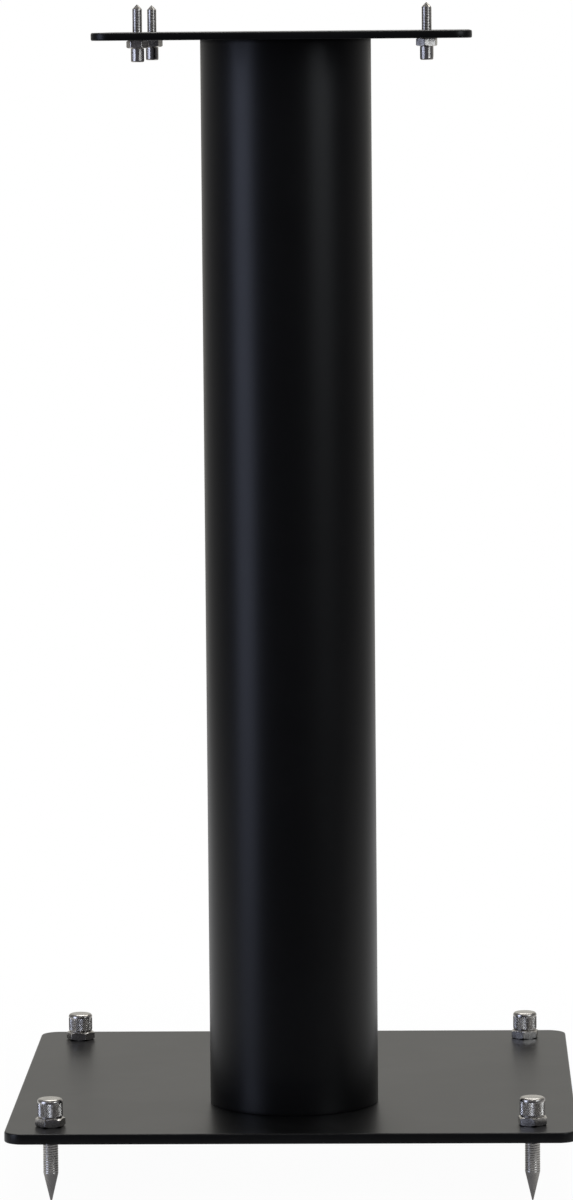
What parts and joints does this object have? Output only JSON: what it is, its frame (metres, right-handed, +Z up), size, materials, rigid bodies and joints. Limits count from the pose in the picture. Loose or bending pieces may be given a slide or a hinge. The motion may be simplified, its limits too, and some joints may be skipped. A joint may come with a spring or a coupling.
{
  "type": "speaker stand",
  "caption": "Single-column speaker stand: round steel tube between a square base plate on knurled floor spikes with lock nuts and a smaller square top plate with upward speaker spikes.",
  "frame": {"origin": "on the floor, under the centre of the base plate; the four floor spikes' points are at z = 0", "axes": "+Z up, -Y the front of the stand (the column stands nearer the front edge), +X to the right seen from the front"},
  "size_m": [0.296, 0.296, 0.6182],
  "materials": {
    "black_powder_coat": "satin black powder coat",
    "bright_nickel": "bright nickel plate on steel, knurled heads and rolled threads",
    "bare_steel": "turned mild steel, welded",
    "black_screws": "black oxide"
  },
  "bodies": {
    "stand": {"base_plate": "black_powder_coat", "top_plate": "black_powder_coat", "column_tube": "black_powder_coat", "lower_end_disc": "bare_steel", "upper_end_disc": "bare_steel", "base_plate_screws": "black_screws", "top_plate_screws": "black_screws"},
    "base_spike_front_left": {"base_spike_front_left": "bright_nickel"},
    "base_lock_nut_front_left": {"base_lock_nut_front_left": "bright_nickel"},
    "top_spike_front_left": {"top_spike_front_left": "bright_nickel"},
    "top_lock_nut_front_left": {"top_lock_nut_front_left": "bright_nickel"},
    "base_spike_front_right": {"base_spike_front_right": "bright_nickel"},
    "base_lock_nut_front_right": {"base_lock_nut_front_right": "bright_nickel"},
    "top_spike_front_right": {"top_spike_front_right": "bright_nickel"},
    "top_lock_nut_front_right": {"top_lock_nut_front_right": "bright_nickel"},
    "base_spike_rear_left": {"base_spike_rear_left": "bright_nickel"},
    "base_lock_nut_rear_left": {"base_lock_nut_rear_left": "bright_nickel"},
    "top_spike_rear_left": {"top_spike_rear_left": "bright_nickel"},
    "top_lock_nut_rear_left": {"top_lock_nut_rear_left": "bright_nickel"},
    "base_spike_rear_right": {"base_spike_rear_right": "bright_nickel"},
    "base_lock_nut_rear_right": {"base_lock_nut_rear_right": "bright_nickel"},
    "top_spike_rear_right": {"top_spike_rear_right": "bright_nickel"},
    "top_lock_nut_rear_right": {"top_lock_nut_rear_right": "bright_nickel"}
  },
  "joints": [
    {"name": "base_spike_front_left_height", "type": "slide", "parent": "stand", "child": "base_spike_front_left", "axis": [0, 0, 1], "range_m": [0, 0.018]},
    {"name": "base_lock_nut_front_left_turn", "type": "hinge", "parent": "stand", "child": "base_lock_nut_front_left", "pos_m": [-0.125, -0.125, 0.04225], "axis": [0, 0, 1], "continuous": true},
    {"name": "top_spike_front_left_height", "type": "slide", "parent": "stand", "child": "top_spike_front_left", "axis": [0, 0, 1], "range_m": [-0.011, 0]},
    {"name": "top_lock_nut_front_left_turn", "type": "hinge", "parent": "stand", "child": "top_lock_nut_front_left", "pos_m": [-0.0735, -0.125, 0.598], "axis": [0, 0, 1], "continuous": true},
    {"name": "base_spike_front_right_height", "type": "slide", "parent": "stand", "child": "base_spike_front_right", "axis": [0, 0, 1], "range_m": [0, 0.018]},
    {"name": "base_lock_nut_front_right_turn", "type": "hinge", "parent": "stand", "child": "base_lock_nut_front_right", "pos_m": [0.125, -0.125, 0.04225], "axis": [0, 0, 1], "continuous": true},
    {"name": "top_spike_front_right_height", "type": "slide", "parent": "stand", "child": "top_spike_front_right", "axis": [0, 0, 1], "range_m": [-0.011, 0]},
    {"name": "top_lock_nut_front_right_turn", "type": "hinge", "parent": "stand", "child": "top_lock_nut_front_right", "pos_m": [0.0735, -0.125, 0.598], "axis": [0, 0, 1], "continuous": true},
    {"name": "base_spike_rear_left_height", "type": "slide", "parent": "stand", "child": "base_spike_rear_left", "axis": [0, 0, 1], "range_m": [0, 0.018]},
    {"name": "base_lock_nut_rear_left_turn", "type": "hinge", "parent": "stand", "child": "base_lock_nut_rear_left", "pos_m": [-0.125, 0.125, 0.04225], "axis": [0, 0, 1], "continuous": true},
    {"name": "top_spike_rear_left_height", "type": "slide", "parent": "stand", "child": "top_spike_rear_left", "axis": [0, 0, 1], "range_m": [-0.011, 0]},
    {"name": "top_lock_nut_rear_left_turn", "type": "hinge", "parent": "stand", "child": "top_lock_nut_rear_left", "pos_m": [-0.0735, 0.022, 0.598], "axis": [0, 0, 1], "continuous": true},
    {"name": "base_spike_rear_right_height", "type": "slide", "parent": "stand", "child": "base_spike_rear_right", "axis": [0, 0, 1], "range_m": [0, 0.018]},
    {"name": "base_lock_nut_rear_right_turn", "type": "hinge", "parent": "stand", "child": "base_lock_nut_rear_right", "pos_m": [0.125, 0.125, 0.04225], "axis": [0, 0, 1], "continuous": true},
    {"name": "top_spike_rear_right_height", "type": "slide", "parent": "stand", "child": "top_spike_rear_right", "axis": [0, 0, 1], "range_m": [-0.011, 0]},
    {"name": "top_lock_nut_rear_right_turn", "type": "hinge", "parent": "stand", "child": "top_lock_nut_rear_right", "pos_m": [0.0735, 0.022, 0.598], "axis": [0, 0, 1], "continuous": true}
  ]
}
